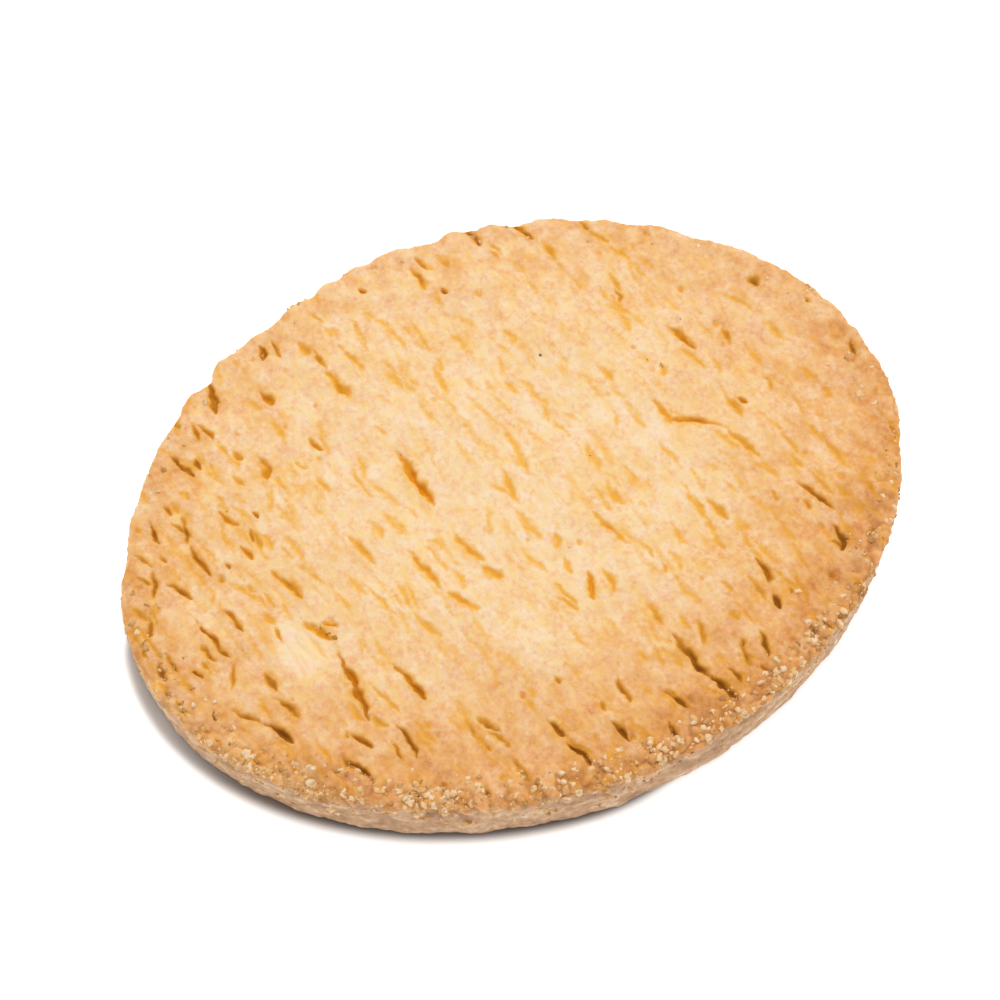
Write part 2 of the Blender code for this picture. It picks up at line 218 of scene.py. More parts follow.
# %% Faint tears
LISTED_FAINT = [
    (-16.1, 21.1, -16.3, 16.9, 0.8, 0.35), (-19.9, 14.0, -21.4, 10.8, 0.7, 0.35),
    (-12.1, 18.8, -13.3, 13.3, 0.7, 0.30), (-10.7, 13.4, -11.4, 9.7, 0.8, 0.35),
    (5.6, 26.2, 5.1, 23.8, 0.7, 0.30), (9.9, 17.8, 9.0, 16.0, 0.8, 0.35),
    (13.9, 4.8, 13.1, 2.3, 0.8, 0.35), (10.1, -11.8, 9.9, -15.3, 0.7, 0.30),
    (25.6, 5.4, 25.5, 2.6, 0.7, 0.35), (20.4, 14.4, 20.0, 11.4, 0.9, 0.40),
    (-14.6, -1.8, -14.7, -6.0, 0.8, 0.35), (3.5, 9.2, 2.5, 1.2, 0.9, 0.35),
    (23.2, 22.2, 24.8, 19.2, 0.8, 0.45), (24.8, 19.4, 23.8, 17.8, 0.7, 0.35),
    (-28.1, 17.7, -27.6, 16.0, 0.7, 0.40), (11.4, -1.2, 11.4, -4.4, 0.7, 0.30),
    (-18.7, 1.5, -17.8, -2.2, 0.8, 0.35), (-13.3, 5.2, -13.3, 2.6, 0.8, 0.35),
    (-0.8, -2.4, 0.2, -5.4, 0.8, 0.35), (4.3, 21.0, 4.8, 17.6, 0.8, 0.35),
    (8.0, 30.0, 8.4, 27.4, 0.8, 0.45), (9.0, 24.0, 9.3, 22.6, 0.7, 0.35),
    (0.4, 24.0, 0.9, 22.2, 0.8, 0.35), (-3.4, 20.2, -3.0, 16.8, 0.8, 0.35),
    (-2.0, 18.4, -1.5, 16.3, 0.7, 0.30), (1.8, 19.0, 1.5, 16.8, 0.7, 0.30),
    (7.9, 9.0, 7.7, 6.0, 0.8, 0.35), (6.0, 13.0, 6.8, 10.5, 0.8, 0.35),
    (-10.3, -19.0, -10.3, -21.5, 0.7, 0.40), (20.9, 6.8, 20.2, 5.0, 0.9, 0.45),
    (13.3, 28.8, 13.8, 26.0, 0.7, 0.40), (-9.7, 0.6, -8.6, -1.4, 1.0, 0.35),
]
LISTED_GAPS = [
    (-24.2, -22.5, -23.9, -23.8), (-22.8, -22.8, -23.1, -23.6), (-21.3, -24.4, -21.6, -25.8),
    (-21.3, -23.2, -21.6, -24.0), (-22.4, -25.0, -22.8, -25.9), (-26.6, -13.8, -27.0, -14.9),
    (-31.5, -18.0, -31.8, -19.4), (-3.3, -27.7, -3.7, -28.6), (1.9, -25.4, 2.4, -26.8),
    (-8.6, -27.2, -8.3, -28.5), (-7.4, -29.9, -7.1, -31.0), (2.8, -30.0, 3.0, -31.1),
    (25.1, -19.5, 24.6, -20.7), (27.6, -20.4, 28.8, -20.7), (18.2, -21.3, 17.9, -22.4),
    (22.5, -21.8, 22.2, -22.9), (17.7, -26.1, 17.2, -27.4), (17.1, -18.9, 16.8, -20.4),
    (11.1, -24.0, 10.8, -25.1), (-24.9, -1.6, -23.4, -3.0), (-23.2, -2.5, -21.7, -3.6), (-24.2, -3.0, -22.8, -4.6),
]
CHAIN_COUNT, GAP_COUNT = 250, 150
FAINT_SEED = 7


def draw_faint_tears():
    """Rows like the deep ones. They come in chains, each stroke from about where the last one ended."""
    draw = random.Random(FAINT_SEED)
    rows = [(bx, by, fx, fy, 0.2, width, depth) for bx, by, fx, fy, width, depth in LISTED_FAINT]
    for _ in range(CHAIN_COUNT):
        turn, share = draw.uniform(0, math.tau), math.sqrt(draw.random())
        x, y = HALF_LENGTH * share * math.cos(turn), HALF_WIDTH * share * math.sin(turn) + 2.0
        strong = draw.choice([0.1, 0.4, 0.7, 1.0])
        for _ in range(draw.choice([1, 2, 2, 3])):
            length = draw.uniform(2.0, 6.0)
            lean = math.radians(draw.gauss(5, 11))
            front_x, front_y = x + length * math.sin(lean), y - length * math.cos(lean)
            rows.append((x, y, front_x, front_y, draw.uniform(-0.35, 0.40), draw.uniform(0.45, 0.85),
                         strong * draw.uniform(0.22, 0.48)))
            x, y = front_x + draw.gauss(0, 0.35), front_y + draw.uniform(-0.8, 0.7)
    return rows


def draw_gaps():
    """Short gaps between the crumbs near the edge, most of them at the left and front."""
    draw = random.Random(FAINT_SEED + 1)
    rows = [row + (0.1, 0.65, 0.65) for row in LISTED_GAPS]
    while len(rows) < GAP_COUNT:
        turn, share = draw.uniform(0, math.tau), draw.uniform(0.60, 0.99)
        toward = 0.5 - 0.5 * math.cos(turn - math.radians(35))
        if draw.random() > share ** 3 * (0.15 + 0.85 * toward):
            continue
        x, y = HALF_LENGTH * share * math.cos(turn), HALF_WIDTH * share * math.sin(turn)
        length, lean = draw.uniform(0.8, 3.6), math.radians(draw.gauss(5, 15))
        rows.append((x, y, x + length * math.sin(lean), y - length * math.cos(lean), draw.uniform(-0.2, 0.2),
                     draw.uniform(0.45, 0.80), draw.uniform(0.25, 0.80)))
    return rows


faint_tears, gaps = draw_faint_tears(), draw_gaps()
print(len(faint_tears), "faint tears,", len(gaps), "gaps between crumbs")

# %% [markdown]
# One function turns any list of tears into four values at each point: the depth, a low lip along both sides
# where the wire pushed the dough up, a soft golden stain that is wider than the tear, and a dark core, partly the
# deeper gold of the inside and partly painted shade at the bottom of the tear. Along a tear the depth grows from a
# hairline at the back end to a place past the middle, and then falls again.
# Across it is a trough with round edges. Slow noise bends its line, and quick noise, the beads, makes it wider
# and narrower, as crumbs stand into it. The solid draws the tears wider than they are, because its faces are
# large. Here they are slimmer and not so deep. The stain of a deep tear reaches further than that of a
# shallow one.

# %% From a list of tears to a depth
SLIM, SHALLOW = 0.66, 0.55


def tear_values(x, y, rows, wobble, beads):
    """Depth and lip of the tears in millimetres at each point, and their stain and dark core, partly painted shade,
    from 0 to 1.
    """
    deep, lip, stain, core_and_shade = (np.zeros_like(x) for _ in range(4))
    for back_x, back_y, front_x, front_y, bow, width, depth in rows:
        run_x, run_y = back_x - front_x, back_y - front_y
        length = math.hypot(run_x, run_y)
        middle_x, middle_y = CENTRE_X + (back_x + front_x) / 2, CENTRE_Y + (back_y + front_y) / 2
        reach = length / 2 + 1.5
        near = np.flatnonzero((abs(x - middle_x) < reach) & (abs(y - middle_y) < reach))
        away_x, away_y = x[near] - middle_x, y[near] - middle_y
        along = (away_x * run_x + away_y * run_y) / (length * length / 2)
        side = (away_x * run_y - away_y * run_x) / length - bow * (1 - along ** 2) + 0.30 * wobble[near]
        inside = np.clip(1 - along ** 2, 0, 1)
        form = 1.05 * inside ** 0.7 * (1 - 0.35 * along) * (1 + 0.45 * beads[near])
        across = abs(side) / (SLIM * width / 2 * np.maximum(form, 0.25))
        flank = np.clip(1 - across / 1.7, 0, 1)
        deep[near] = np.maximum(deep[near], SHALLOW * depth ** 1.5 * form * flank * flank * (3 - 2 * flank))
        lip[near] = np.maximum(lip[near], 0.08 * min(depth, 0.8) * np.exp(-((across - 2.3) / 0.9) ** 2) * inside)
        soft = np.clip(1 - across / (2.5 + 1.5 * depth), 0, 1) ** 1.2
        stain[near] = np.maximum(stain[near], min(1.1, 0.42 + 1.2 * depth) * np.clip(form, 0, 1) ** 0.7 * soft)
        narrow = np.clip(1 - across / 1.5, 0, 1)
        core_and_shade[near] = np.maximum(core_and_shade[near], min(1.0, max(0.0, depth - 0.30) * 1.5) * form * narrow)
    return deep, lip, np.clip(stain, 0, 1.1), np.clip(core_and_shade, 0, 1)


# %% [markdown]
# ## Pits
# Steam leaves small pits, most of them under a millimetre across and a little drawn out along the cut. As
# with the tears, the ones that catch the eye are listed and the rest follow a rule.

# %% Pits
LISTED_PITS = [
    (-28.9, 6.7), (-23.2, 1.4), (-22.0, -2.8), (-8.2, 21.6), (3.3, 7.1), (3.1, -7.2), (5.2, -18.8),
    (24.5, -17.4), (22.4, -22.5), (18.4, -21.6), (17.4, -26.9), (24.6, 7.4), (28.2, 8.1), (27.9, 21.2),
    (17.4, 27.0), (12.6, 29.0), (27.4, 13.6), (34.3, 10.8), (33.4, -4.0), (27.6, -9.4), (29.2, -13.6),
    (36.0, -9.2), (2.0, 31.6), (-10.2, -19.1), (-19.4, -18.8), (-3.5, -28.2), (-31.7, -18.5),
]
PIT_COUNT = 90
PIT_SEED = 23


def draw_pits():
    """Rows of x, y, radius and depth."""
    draw = random.Random(PIT_SEED)
    rows = [(x, y, draw.uniform(0.32, 0.48), draw.uniform(0.25, 0.40)) for x, y in LISTED_PITS]
    for _ in range(PIT_COUNT):
        turn, share = draw.uniform(0, math.tau), draw.random() ** 0.35 * 0.98
        rows.append((HALF_LENGTH * share * math.cos(turn), HALF_WIDTH * share * math.sin(turn),
                     draw.uniform(0.20, 0.36), draw.uniform(0.10, 0.28)))
    return rows


def pit_depth(x, y, rows):
    deep = np.zeros_like(x)
    for pit_x, pit_y, radius, depth in rows:
        near = np.flatnonzero((abs(x - CENTRE_X - pit_x) < 1.0) & (abs(y - CENTRE_Y - pit_y) < 1.0))
        away = np.hypot(x[near] - CENTRE_X - pit_x, (y[near] - CENTRE_Y - pit_y) * 0.75) / radius
        deep[near] = np.maximum(deep[near], depth * np.clip(1 - away ** 2, 0, 1))
    return deep


pits = draw_pits()
print(len(pits), "pits")

# %% [markdown]
# ## The mesh of the biscuit
# A grid of squares bent into an oval has flat, crushed cells at four corners. A web of rings has none:
# ring one has six points, ring two twelve, and so on, so all the triangles are nearly alike. Below the rim
# the last ring is repeated down the side on a section through the edge, and a coarser web closes the
# underside. Cells of about a quarter of a millimetre are fine enough for the crumb of the face.

# %% A web of rings
TOP_RINGS = 144
BASE_RINGS = 48


def web_points(rings):
    """Turn and share of the way out for each point of a web, ring by ring."""
    turns, shares = [0.0], [0.0]
    for ring in range(1, rings + 1):
        count = 6 * ring
        turns.extend((math.tau * np.arange(count) / count).tolist())
        shares.extend([ring / rings] * count)
    return np.array(turns), np.array(shares)


def web_faces(rings):
    """Triangles between the rings, facing up."""
    faces = []
    for ring in range(rings):
        inner, outer = ring * 6, (ring + 1) * 6
        first_in = 1 + 3 * ring * (ring - 1) if ring else 0
        first_out = 1 + 3 * ring * (ring + 1)
        for sector in range(6):
            for step in range(ring + 1):
                a = first_in + (sector * ring + step) % inner if ring else 0
                b = first_out + (sector * (ring + 1) + step) % outer
                c = first_out + (sector * (ring + 1) + step + 1) % outer
                faces.append((a, b, c))
                if step < ring:
                    d = first_in + (sector * ring + step + 1) % inner
                    faces.append((a, c, d))
    return faces


print("top web:", len(web_faces(TOP_RINGS)), "triangles")

# %% [markdown]
# The section through the edge is the one that was modelled in the solid: a rounded rim, a side that is
# nearly upright, and a small lower corner. A smooth curve through its points gives more rows. The foot of
# the side stands in from its head, except towards the front, where it stands out a little.

# %% Section through the edge
EDGE_SECTION = [(0.75, 1.000), (0.35, 0.985), (0.10, 0.940), (0.00, 0.860), (0.00, 0.620), (0.00, 0.380),
                (0.03, 0.200), (0.12, 0.110), (0.36, 0.040), (0.85, 0.000)]
STEPS = [2, 2, 3, 5, 5, 4, 2, 2, 2]  # rows between each pair of points
LEAN, FLARE, FLARE_TURN = 0.65, 0.95, math.radians(-112)
CRUMBLE_DEPTH, CRUMBLE_SIZE = 0.30, 3.1


def smooth_section():
    """More rows through the same points, on a Catmull-Rom curve."""
    points = [Vector(point) for point in EDGE_SECTION]
    points = [points[0] * 2 - points[1]] + points + [points[-1] * 2 - points[-2]]
    rows = []
    for index, count in enumerate(STEPS):
        before, start, end, after = points[index:index + 4]
        for step in range(1, count + 1):
            t = step / count
            rows.append(0.5 * (2 * start + (end - before) * t + (2 * before - 5 * start + 4 * end - after) * t * t
                               + (3 * start - before - 3 * end + after) * t ** 3))
    rows[-1] = points[-2]
    return [(row.x, min(1.0, max(0.0, row.y))) for row in rows]


def edge_row(turn, inset, level):
    """One row of points round the edge."""
    rim_x, rim_y = outline(turn, TOP_INSET)
    height = top_height(rim_x, rim_y) * level
    lean = LEAN - FLARE * np.maximum(0.0, np.cos(turn - FLARE_TURN)) ** 2
    inset = inset + lean * (1 - level)
    if level > 0:
        x, y = outline(turn, inset)
        inset = inset - CRUMBLE_DEPTH * noise_at(x, y, height, CRUMBLE_SIZE)
    x, y = outline(turn, inset)
    return x, y, height


rows = smooth_section()
print(len(rows), "rows down the edge, from", rows[0], "to", rows[-1])

# %% [markdown]
# Now the smooth form is put together. Each part of it notes where it lies: how far out on the face, at
# what turn, and how far down the side. The finish needs that later.

# %% The smooth form
def smooth_form():
    """Points, faces and the place of each point: turn, share of the way out, level on the side."""
    turn, share = web_points(TOP_RINGS)
    rim_x, rim_y = outline(turn, TOP_INSET)
    x = CENTRE_X + (rim_x - CENTRE_X) * share
    y = CENTRE_Y + (rim_y - CENTRE_Y) * share
    parts = [np.stack([x, y, top_height(x, y)], axis=-1)]
    places = [np.stack([turn, share, np.ones_like(turn)], axis=-1)]
    faces = web_faces(TOP_RINGS)

    around = 6 * TOP_RINGS
    ring_turn = math.tau * np.arange(around) / around
    above = len(turn) - around
    start = len(turn)
    for inset, level in rows:
        x, y, z = edge_row(ring_turn, inset, level)
        parts.append(np.stack([x, y, z], axis=-1))
        places.append(np.stack([ring_turn, np.ones(around), np.full(around, level)], axis=-1))
        for step in range(around):
            after = (step + 1) % around
            faces.append((above + step, start + step, start + after, above + after))
        above, start = start, start + around

    turn, share = web_points(BASE_RINGS)
    rim_x, rim_y = outline(turn, EDGE_SECTION[-1][0] + LEAN + 0.5)
    parts.append(np.stack([CENTRE_X + (rim_x - CENTRE_X) * share, CENTRE_Y + (rim_y - CENTRE_Y) * share,
                           np.zeros_like(turn)], axis=-1))
    places.append(np.stack([turn, share, np.full(len(turn), -1.0)], axis=-1))
    faces.extend(tuple(start + corner for corner in reversed(face)) for face in web_faces(BASE_RINGS))
    base_rim = start + len(turn) - 6 * BASE_RINGS
    ratio = TOP_RINGS // BASE_RINGS
    for step in range(6 * BASE_RINGS):
        inner, inner_after = base_rim + step, base_rim + (step + 1) % (6 * BASE_RINGS)
        outer = [above + (step * ratio + part) % around for part in range(ratio + 1)]
        faces.extend((inner, outer[part + 1], outer[part]) for part in range(ratio))
        faces.append((inner, inner_after, outer[-1]))
    return np.concatenate(parts), faces, np.concatenate(places)


points, faces, places = smooth_form()
print(len(points), "points,", sum(len(face) - 2 for face in faces), "triangles")

# %% [markdown]
# A tear is narrower than three cells of this mesh, which would leave saw teeth down its flanks. A finer
# mesh all over would be many times as heavy, so only the cells in a tear or pit are split, twice in the
# deep ones.

# %% Split the cells in the tears
def refine(points, faces, places, wanted):
    """Splits the edges that touch a wanted point. New points take the mean of their neighbours' places."""
    bm = bmesh.new()
    share_layer = bm.verts.layers.float.new("share")
    level_layer = bm.verts.layers.float.new("level")
    for point, (_, share, level) in zip(points.tolist(), places.tolist()):
        vert = bm.verts.new(point)
        vert[share_layer], vert[level_layer] = share, level
    bm.verts.ensure_lookup_table()
    bm.verts.index_update()
    for face in faces:
        bm.faces.new([bm.verts[corner] for corner in face])
    edges = [edge for edge in bm.edges if wanted[edge.verts[0].index] or wanted[edge.verts[1].index]]
    bmesh.ops.subdivide_edges(bm, edges=edges, cuts=1, use_grid_fill=True)
    bm.normal_update()
    bmesh.ops.triangulate(bm, faces=[face for face in bm.faces if len(face.verts) > 3 and face.normal.z > 0.5])
    bm.verts.index_update()
    points = np.array([vert.co[:] for vert in bm.verts])
    turn = np.arctan2((points[:, 1] - CENTRE_Y) / HALF_WIDTH, (points[:, 0] - CENTRE_X) / HALF_LENGTH)
    share = np.array([vert[share_layer] for vert in bm.verts])
    level = np.array([vert[level_layer] for vert in bm.verts])
    faces = [tuple(vert.index for vert in face.verts) for face in bm.faces]
    bm.free()
    return points, faces, np.stack([turn, share, level], axis=-1)


def bends_and_beads(x, y):
    """The two noises that the tears take, at each point of the upper face."""
    flat = np.zeros_like(x)
    return noise_at(x, y, flat, 1.5) + 0.45 * noise_at(x, y, flat + 7, 0.55), noise_at(x, y, flat + 40, 1.0)


for least_cut in (0.06, 0.22):
    x, y = points[:, 0], points[:, 1]
    cut = tear_values(x, y, TEARS + gaps + faint_tears, *bends_and_beads(x, y))[0]
    cut = np.maximum(cut, pit_depth(x, y, pits))
    points, faces, places = refine(points, faces, places, (cut > least_cut) & (places[:, 2] > 0.9))
    print(len(points), "points,", sum(len(face) - 2 for face in faces), "triangles")

# %% [markdown]
# ## Relief
# Baked dough has relief at several scales: soft waves a few millimetres long where it rose, torn crumbs of
# one or two millimetres with creases between them, and grit. Folded noise gives such crumbs: where a smooth
# noise passes through zero its absolute value has a crease, and two sizes on top of each other look torn,
# not round. The side faintly shows the layers of the log, drawn out along it. Each point is moved along its
# own normal, and the tears and pits then cut down.

# %% Put the relief on
def to_object(name, points, faces):
    """A mesh object from points in millimetres."""
    mesh = bpy.data.meshes.new(name)
    mesh.from_pydata((points * MM).tolist(), [], faces)
    mesh.update()
    thing = bpy.data.objects.new(name, mesh)
    bpy.context.scene.collection.objects.link(thing)
    return thing


def normals_of(thing):
    normals = np.empty(len(thing.data.vertices) * 3)
    thing.data.vertices.foreach_get("normal", normals)
    return normals.reshape(-1, 3)


def ease(value, low, high):
    """Smooth step from 0 at low to 1 at high."""
    share = np.clip((value - low) / (high - low), 0, 1)
    return share * share * (3 - 2 * share)


biscuit = to_object("baked_biscuit", points, faces)
normals = normals_of(biscuit)
turn, share, level = places.T
x, y, z = points.T
front = 0.5 + 0.5 * np.cos(turn - math.radians(-95))    # 1 at the front
left = 0.5 + 0.5 * np.cos(turn - math.radians(-160))    # 1 at the left
wave = noise_at(x, y, z, (2.6, 3.6, 2.6))
jag = noise_at(x, y, z, 1.1)
side = np.where(level < 0, 0.0, 1 - ease(level + 0.05 * wave + 0.09 * jag, 0.78, 0.90))
under = (level < 0).astype(float)
rim = ease(share, 0.91, 0.985) * ease(level, 0.60, 0.90)
rough = 0.45 + 1.05 * ease(share, 0.45, 0.95) * (0.30 + 0.70 * np.maximum(front, left))

crumb = noise_at(x + 12, y, z, (1.1, 1.6, 1.1))
lumps = billow_at(x + 57, y, z, (1.5, 1.5, 1.2))
pebbles = billow_at(x + 83, y, z, (1.9, 2.6, 1.9))
crumbly = ease(share, 0.55, 0.95) * np.maximum(front, left) ** 2
grit = noise_at(x + 31, y, z, (0.50, 0.70, 0.45))
layers = noise_at(turn * 36 / 5.0, z / 0.75, x * 0 + 5, 1.0)
face_relief = 0.06 * wave + rough * (0.07 * crumb + 0.06 * grit) + 0.16 * crumbly * (pebbles - 0.6)
rim_relief = (0.08 + 0.42 * front ** 2) * (lumps - 0.6) + 0.10 * grit + 0.10 * jag
side_relief = 0.06 * layers + 0.12 * (lumps - 0.6) + 0.08 * grit
relief = face_relief * (1 - side) * (1 - rim) + rim_relief * rim + side_relief * side * (1 - rim)
relief *= ease(level, 0.0, 0.12)
points = points + normals * relief[:, None]

x, y, z = points.T
wobble, beads = bends_and_beads(x, y)
deep, deep_lip, deep_stain, core_and_shade = tear_values(x, y, TEARS, wobble, beads)
faint, faint_lip, faint_stain, faint_core_and_shade = tear_values(x, y, faint_tears + gaps, wobble, beads)
pit = pit_depth(x, y, pits)
cut = np.maximum(np.maximum(deep, faint), pit)
cut_floor = top_height(x, y) - cut + 0.8 * relief
top_side = level > 0.5
points[:, 2] = np.where(top_side & (cut > 0), np.minimum(z, cut_floor), z)
points[:, 2] += np.where(top_side & (share < 0.985), np.maximum(deep_lip, faint_lip), 0)
low, high = (np.array(corner) / MM for corner in cad_box)
points = np.clip(points, low + 0.01, high - 0.01)
points[level <= 0, 2] = np.where(level[level <= 0] < 0, 0.03 + 0.03 * wave[level <= 0], 0.0)
biscuit.data.vertices.foreach_set("co", (points * MM).ravel())
biscuit.data.update()
biscuit.data.shade_smooth()
print("deepest cut", round(float(cut.max()), 2), "mm; relief from", round(float(relief.min()), 2), "to",
      round(float(relief.max()), 2), "mm")

# %% [markdown]
# ## What the oven did, and some painted shade
# Colour on a biscuit is a record of heat and moisture. The middle of the face stays pale and the edge browns.
# The front is darker still, partly from browning and partly from painted shade on the side away from the light.
# The colour could be painted, but a value on each point of the mesh does it in a few lines and holds from every
# side. The tears show the inside of the dough, a deep gold. One patch at the left stayed pale, with hardly any gold in
# it.

# %% Values for the finish
def note(thing, name, values):
    """Stores one number for each point of a mesh, for its material to read."""
    layer = thing.data.attributes.new(name, "FLOAT", "POINT")
    layer.data.foreach_set("value", np.asarray(values, dtype=np.float32))


PALE_PATCH = (-26.0, -4.0, 2.2, 3.0)  # x, y, half length and half width
# darker towards the front: partly browning, partly painted shade on the side away from the light
front_browning_and_shade = 0.5 + 0.5 * np.cos(turn - math.radians(-85))      # 1 at the front
patches = noise_at(points[:, 0] + 9, points[:, 1], points[:, 2] * 0, (5.5, 7.5, 5.0))
speckle = noise_at(points[:, 0], points[:, 1] + 70, points[:, 2], (1.3, 1.8, 1.3))
browning_and_shade = ease(share, 0.30, 1.0) * (0.15 + 0.34 * front_browning_and_shade) + 0.08 * ease(share, 0.84, 0.96)
browning_and_shade += (0.04 + 0.10 * front_browning_and_shade) * patches + 0.06 * wave + 0.22 * ease(share, 0.55, 0.95) * speckle
patch_x, patch_y, patch_length, patch_width = PALE_PATCH
pale_x, pale_y = points[:, 0] - CENTRE_X - patch_x, points[:, 1] - CENTRE_Y - patch_y
pale = np.exp(-((pale_x / patch_length) ** 2 + (pale_y / patch_width) ** 2) ** 1.5)
# painted shade: the creases between the lumps of the rim and side are coloured darker
crease_shade = ease(1 - lumps, 0.35, 1.0) * np.maximum(rim * (0.15 + 0.85 * front), side)
note(biscuit, "browning_and_shade", np.clip(browning_and_shade - 0.7 * pale, -0.3, 1))
stain = np.maximum(np.maximum(deep_stain, faint_stain), np.clip(2.2 * pit, 0, 1))
note(biscuit, "gold", np.maximum(stain, 0.38 * crumbly * ease(1 - pebbles, 0.55, 1.0)) * (1 - 0.8 * pale))
# dark cores of tears, pits and gaps: partly the deeper dough colour, partly painted shade in the hollows
note(biscuit, "core_and_shade", np.maximum(np.maximum(core_and_shade, faint_core_and_shade), np.clip(2.5 * (pit - 0.22), 0, 0.8)))
note(biscuit, "crease_shade", crease_shade)
note(biscuit, "side", side)
note(biscuit, "under", under)
# painted shade: the lower corner of the side, where it meets the floor, is coloured dark
note(biscuit, "painted_foot_shade", (1 - ease(level, 0.03, 0.14)) * (level >= 0))
print("browning: middle", round(float(browning_and_shade[0]), 2), " rim", round(float(browning_and_shade[share == 1].mean()), 2))

# %% [markdown]
# ## Baked lemon dough
# Flour, butter and sugar, wire cut and baked. The surface is matt and slightly open, so light goes a little
# way in and comes back warmer. Principled with a little subsurface does that. Its IOR is 1.45, about that
# of the butter in it, and it is rough. The colours are baked dough from the pale middle to the brown edge.

# %% One small function for nodes, and one for colours
def linear(code):
    """sRGB hex to the linear colour that Blender's sockets hold."""
    values = [int(code[index:index + 2], 16) / 255 for index in (1, 3, 5)]
    return [v / 12.92 if v <= 0.04045 else ((v + 0.055) / 1.055) ** 2.4 for v in values] + [1.0]


def add(tree, kind, inputs=None, **settings):
    """Adds a node, sets it, and links or fills its inputs by name or number."""
    made = tree.nodes.new(kind)
    for name, value in settings.items():
        setattr(made, name, value)
    for name, value in (inputs or {}).items():
        if isinstance(value, bpy.types.NodeSocket):
            tree.links.new(value, made.inputs[name])
        else:
            made.inputs[name].default_value = value
    return made


def set_ramp(ramp, stops):
    """Fills a colour ramp with (place, hex) stops."""
    elements = ramp.color_ramp.elements
    while len(elements) < len(stops):
        elements.new(0.5)
    for element, (place, code) in zip(elements, stops):
        element.position = place
        element.color = linear(code)


def new_material(name):
    made = bpy.data.materials.new(name)
    made.use_nodes = True
    made.node_tree.nodes.clear()
    return made, made.node_tree


print("hex #F8D09A is", [round(value, 3) for value in linear("#F8D09A")[:3]], "in linear light")

# %% [markdown]
# The colour is built in layers: the oven's browning with a mottle on it, with painted shade added at the front, the
# gold of the tears, painted shade in the creases of the rim and side, the dark cores, partly painted shade, then the
# paler floury side and a painted shade along its foot.
# The mottle has two sizes, crumbs of about one millimetre and flour grit of a half, both a little drawn
# out along the cut. Two weaker ones turn the colour to yellow and to pink, because butter and flour don't
# brown alike. Thin soft streaks of the gold lie between the tears too.

# %% The dough's material
CRUMB_MM, GRIT_MM, HUE_MM, GLAZE_MM, STREAK_MM, BUMP_MM = 1.3, 0.50, 1.0, 1.6, 1.1, 0.30
baked_dough, tree = new_material("baked_lemon_dough")
place = add(tree, "ShaderNodeTexCoord").outputs["Object"]


def mottle(size, scale=(1.0, 0.85, 1.0), detail=3.0):
    """Noise with lumps of a size in millimetres, drawn out by the scale of each axis."""
    drawn = add(tree, "ShaderNodeMapping", {"Vector": place, "Scale": scale}).outputs[0]
    return add(tree, "ShaderNodeTexNoise", {"Vector": drawn, "Scale": 1 / (size * MM), "Detail": detail,
                                            "Roughness": 0.6}).outputs["Fac"]


def value_of(name):
    """One of the values noted on the mesh."""
    return add(tree, "ShaderNodeAttribute", attribute_name=name).outputs["Fac"]


def plus(value, share, base):
    """base + share * value"""
    return add(tree, "ShaderNodeMath", {0: value, 1: share, 2: base}, operation="MULTIPLY_ADD").outputs[0]


def smooth_step(value, low, high, top=1.0):
    """0 below low, and up to top at high."""
    return add(tree, "ShaderNodeMapRange", {"Value": value, "From Min": low, "From Max": high, "To Max": top},
               interpolation_type="SMOOTHSTEP").outputs[0]


def ramp_of(value, stops):
    """A colour for each value."""
    made = add(tree, "ShaderNodeValToRGB", {"Fac": value})
    set_ramp(made, stops)
    return made.outputs["Color"]


def mix(amount, under_colour, over_colour, kind="MIX"):
    """Lays one colour over another."""
    return add(tree, "ShaderNodeMix", {0: amount, 6: under_colour, 7: over_colour}, data_type="RGBA",
               blend_type=kind).outputs[2]


def streaks(size, low, high, top):
    """Short soft streaks along the cut, where a drawn-out noise is high. A slower noise thins them out."""
    drawn = mottle(size, (1.0, 0.26, 1.0), 2.0)
    thinned = plus(mottle(size * 3), 0.5, plus(drawn, 1.0, -0.25))
    return smooth_step(thinned, low, high, top)


# browning_and_shade carries the painted shade of the front as well as the oven's browning
crumbs_of_colour, grit_of_colour, browned_and_shaded = mottle(CRUMB_MM), mottle(GRIT_MM, detail=2.0), value_of("browning_and_shade")
tone = plus(grit_of_colour, 0.60, plus(crumbs_of_colour, 0.60, plus(browned_and_shaded, 1.0, -0.50)))
face = ramp_of(tone, [(0.0, "#FDE3C2"), (0.15, "#FAD9AF"), (0.35, "#F4C898"), (0.60, "#E9AF76"), (0.80, "#D6955A"),
                      (1.0, "#B6783E")])
hue = ramp_of(mottle(HUE_MM, detail=2.0), [(0.36, "#FFFAE2"), (0.50, "#FFFFFF"), (0.64, "#FFF6F6")])
face = mix(1.0, face, hue, "MULTIPLY")
glaze = ramp_of(mottle(GLAZE_MM, (1.0, 0.55, 1.0), 2.0), [(0.38, "#FFFFFF"), (0.62, "#FFF7E2")])
face = mix(1.0, face, glaze, "MULTIPLY")
gold = ramp_of(plus(grit_of_colour, 0.4, plus(browned_and_shaded, 0.8, -0.2)),
               [(0.0, "#F8BA50"), (0.4, "#E8A238"), (0.8, "#C88220")])
face = mix(streaks(STREAK_MM, 0.55, 0.80, 0.60), face, gold)
stained = plus(grit_of_colour, 0.45, plus(crumbs_of_colour, 0.30, value_of("gold")))
face = mix(smooth_step(stained, 0.42, 1.25), face, gold)
# painted shade in the rim's creases
face = mix(smooth_step(value_of("crease_shade"), 0.1, 0.9, 0.6), face, linear("#B9793A"))
# colours of the dark cores, darker where painted shade lies deepest
deepest = ramp_of(browned_and_shaded, [(0.0, "#EAA010"), (0.22, "#C47E0A"), (0.42, "#985A06")])
face = mix(smooth_step(value_of("core_and_shade"), 0.05, 0.75, 0.95), face, deepest)

